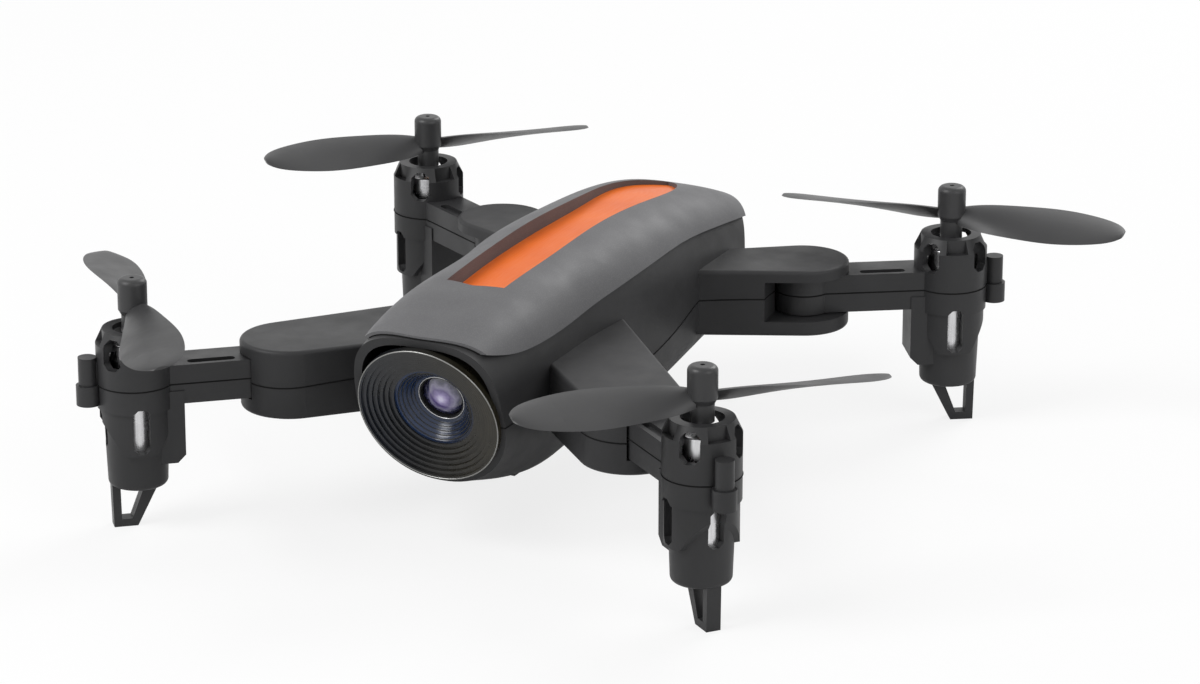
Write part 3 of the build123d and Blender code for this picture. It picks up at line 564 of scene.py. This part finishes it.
# %% bead tree
def bead_tree(material):
    tree = bpy.data.node_groups.new("bead_" + material.name, "GeometryNodeTree")
    tree.interface.new_socket("Geometry", in_out="INPUT", socket_type="NodeSocketGeometry")
    tree.interface.new_socket("Bead Radius", in_out="INPUT", socket_type="NodeSocketFloat")
    tree.interface.new_socket("Geometry", in_out="OUTPUT", socket_type="NodeSocketGeometry")
    source, target = add(tree, "NodeGroupInput"), add(tree, "NodeGroupOutput")
    chain = add(tree, "GeometryNodeMeshToCurve")
    profile = add(tree, "GeometryNodeCurvePrimitiveCircle", Resolution=6)
    sweep = add(tree, "GeometryNodeCurveToMesh", Fill_Caps=True)
    real = add(tree, "GeometryNodeRealizeInstances")
    coat = add(tree, "GeometryNodeSetMaterial", Material=material)
    join(tree, source.outputs["Geometry"], chain.inputs["Mesh"])
    join(tree, source.outputs["Bead Radius"], profile.inputs["Radius"])
    join(tree, chain.outputs["Curve"], sweep.inputs["Curve"])
    join(tree, profile.outputs["Curve"], sweep.inputs["Profile Curve"])
    join(tree, sweep.outputs["Mesh"], real.inputs["Geometry"])
    join(tree, real.outputs["Geometry"], coat.inputs["Geometry"])
    join(tree, coat.outputs["Geometry"], target.inputs["Geometry"])
    return tree


def grown(name, guide, tree, sizes, body):
    """Runs a tree on a guide mesh, keeps the plain mesh and lets it ride on a body."""
    holder = bpy.data.objects.new(name + "_guide", guide)
    bpy.context.scene.collection.objects.link(holder)
    modifier = holder.modifiers.new("grow", "NODES")
    modifier.node_group = tree
    for item in tree.interface.items_tree:
        if item.in_out == "INPUT" and item.name in sizes:
            modifier[item.identifier] = sizes[item.name]
    bpy.context.view_layer.update()
    graph = bpy.context.evaluated_depsgraph_get()
    mesh = bpy.data.meshes.new_from_object(holder.evaluated_get(graph))
    holder.modifiers.remove(modifier)
    bpy.data.objects.remove(holder)
    mesh.name = name
    piece = bpy.data.objects.new(name, mesh)
    bpy.context.scene.collection.objects.link(piece)
    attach(piece, body)
    print(name, len(mesh.polygons), "faces")
    return piece


# %% shared edges
SHARP = 0.6
REACH = 0.03 * MM


def near_to(node):
    """A test of whether a point lies on a piece's surface."""
    data = frame["nodes"][node].data
    tree = BVHTree.FromPolygons([v.co for v in data.vertices], [p.vertices for p in data.polygons])
    return lambda point: tree.find_nearest(point, REACH)[0] is not None


def shared_edges(node, neighbour):
    """The sharp edges of one piece that lie on its neighbour, as pairs of points."""
    merged = bmesh.new()
    merged.from_mesh(frame["nodes"][node].data)
    bmesh.ops.remove_doubles(merged, verts=merged.verts, dist=0.004 * MM)
    touches = near_to(neighbour)
    on_seam = {v.index: touches(v.co) for v in merged.verts}
    kept = []
    for edge in merged.edges:
        first, second = edge.verts
        if len(edge.link_faces) == 2 and edge.calc_face_angle() > SHARP:
            if on_seam[first.index] and on_seam[second.index]:
                kept.append((first.co.copy(), second.co.copy()))
    merged.free()
    return kept


def line_mesh(name, pairs):
    """A mesh of bare edges from pairs of points."""
    made = bmesh.new()
    for first, second in pairs:
        made.edges.new((made.verts.new(first), made.verts.new(second)))
    bmesh.ops.remove_doubles(made, verts=made.verts, dist=0.004 * MM)
    mesh = bpy.data.meshes.new(name)
    made.to_mesh(mesh)
    made.free()
    return mesh


# %% parting lines
SEAM_RADIUS = 0.11 * MM
seam_tree = bead_tree(FINISH["seam_dark"])

hull_lines = shared_edges("belly_shell", "middle_shell")
grown("hull_parting_line", line_mesh("hull_guide", hull_lines), seam_tree,
      {"Bead Radius": SEAM_RADIUS}, "airframe")
canopy_lines = shared_edges("middle_shell", "canopy")
grown("canopy_parting_line", line_mesh("canopy_guide", canopy_lines), seam_tree,
      {"Bead Radius": 1.5 * SEAM_RADIUS}, "airframe")
for corner in CORNERS:
    arm_lines = shared_edges("arm_lower_shell_" + corner, "arm_upper_shell_" + corner)
    grown("arm_parting_line_" + corner, line_mesh("arm_guide_" + corner, arm_lines), seam_tree,
          {"Bead Radius": SEAM_RADIUS}, "arm_" + corner)

# %% [markdown]
# ## Rings in the camera
# The outer edge of the camera ring is polished, so it draws one thin bright circle.  A second thin
# ring holds the glass, and a few dark threads inside the bowl keep stray light off the sensor, as
# baffles do in any lens.  All are circles about the nose's axis, so the bead tree makes them too.

# %% camera rings
CIRCLE_STEPS = 96
BAFFLES = ((5.75, -1.45), (5.35, -1.95), (4.95, -2.45), (4.55, -2.95), (4.2, -3.35))
nose_matrix = Matrix.Translation(NOSE_CENTRE) @ Matrix.Rotation(NOSE_TURN, 4, "X")


def nose_circle(radius, depth):
    """Edges of a circle about the nose's axis."""
    points = []
    for step in range(CIRCLE_STEPS):
        angle = 2 * math.pi * step / CIRCLE_STEPS
        points.append(nose_matrix @ Vector((radius * math.cos(angle), radius * math.sin(angle), depth)))
    return list(zip(points, points[1:] + points[:1]))


rim_circles = nose_circle(RING_RADIUS - 0.12 * MM, 0.88 * MM)
grown("ring_bright_edge", line_mesh("rim_guide", rim_circles), bead_tree(FINISH["rim_metal"]),
      {"Bead Radius": 0.11 * MM}, "airframe")
holder_circles = nose_circle(LENS_RADIUS + 0.28 * MM, LENS_CENTRE_DEPTH - 0.02 * MM)
grown("lens_holder_ring", line_mesh("holder_guide", holder_circles), bead_tree(FINISH["pin_steel"]),
      {"Bead Radius": 0.10 * MM}, "airframe")
baffle_circles = []
for baffle_radius, baffle_depth in BAFFLES:
    baffle_circles += nose_circle(baffle_radius * MM, baffle_depth * MM)
grown("bowl_baffles", line_mesh("baffle_guide", baffle_circles), bead_tree(FINISH["bezel_black"]),
      {"Bead Radius": 0.09 * MM}, "airframe")

# %% [markdown]
# ## Cross recesses
# Every screw on the underside has a cross for the driver, drawn as a small near-black cross of painted
# shade.  One is put on each screw head by a tree that instances it on the points of a guide mesh, one mesh for
# each body.

# %% cross tree
def cross_tree(material):
    tree = bpy.data.node_groups.new("cross_recess", "GeometryNodeTree")
    tree.interface.new_socket("Geometry", in_out="INPUT", socket_type="NodeSocketGeometry")
    tree.interface.new_socket("Cross Width", in_out="INPUT", socket_type="NodeSocketFloat")
    tree.interface.new_socket("Geometry", in_out="OUTPUT", socket_type="NodeSocketGeometry")
    source, target = add(tree, "NodeGroupInput"), add(tree, "NodeGroupOutput")
    arms = add(tree, "GeometryNodeJoinGeometry")
    for turn in (0.0, math.pi / 2):
        bar = add(tree, "GeometryNodeMeshCylinder", Vertices=4, Radius=0.5, Depth=1.0)
        shape = add(tree, "GeometryNodeTransform", Rotation=(0, 0, math.pi / 4), Scale=(1.42, 0.36, 0.12))
        spin = add(tree, "GeometryNodeTransform", Rotation=(0, 0, turn))
        square = add(tree, "GeometryNodeTransform", Rotation=(0, 0, math.pi / 4))
        join(tree, bar.outputs["Mesh"], square.inputs["Geometry"])
        join(tree, square.outputs["Geometry"], shape.inputs["Geometry"])
        shape.inputs["Rotation"].default_value = (0, 0, 0)
        join(tree, shape.outputs["Geometry"], spin.inputs["Geometry"])
        join(tree, spin.outputs["Geometry"], arms.inputs["Geometry"])
    place = add(tree, "GeometryNodeInstanceOnPoints")
    real = add(tree, "GeometryNodeRealizeInstances")
    coat = add(tree, "GeometryNodeSetMaterial", Material=material)
    join(tree, source.outputs["Geometry"], place.inputs["Points"])
    join(tree, arms.outputs["Geometry"], place.inputs["Instance"])
    join(tree, source.outputs["Cross Width"], place.inputs["Scale"])
    join(tree, place.outputs["Instances"], real.inputs["Geometry"])
    join(tree, real.outputs["Geometry"], coat.inputs["Geometry"])
    join(tree, coat.outputs["Geometry"], target.inputs["Geometry"])
    return tree


def point_mesh(name, points):
    mesh = bpy.data.meshes.new(name)
    mesh.from_pydata(points, [], [])
    return mesh


def head_centre(node):
    """The middle of a screw's underside."""
    low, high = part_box(node)
    return ((low[0] + high[0]) / 2, (low[1] + high[1]) / 2, low[2])


# the crosses are painted shade standing in for the recesses
recess_tree = cross_tree(FINISH["recess_painted_shade"])
for corner in CORNERS:
    grown("arm_screw_cross_" + corner, point_mesh("cross_points_" + corner, [head_centre("arm_screw_" + corner)]),
          recess_tree, {"Cross Width": 1.5 * MM}, "arm_" + corner)
grown("hatch_screw_cross", point_mesh("hatch_cross_point", [head_centre("hatch_screw")]), recess_tree,
      {"Cross Width": 1.8 * MM}, "airframe")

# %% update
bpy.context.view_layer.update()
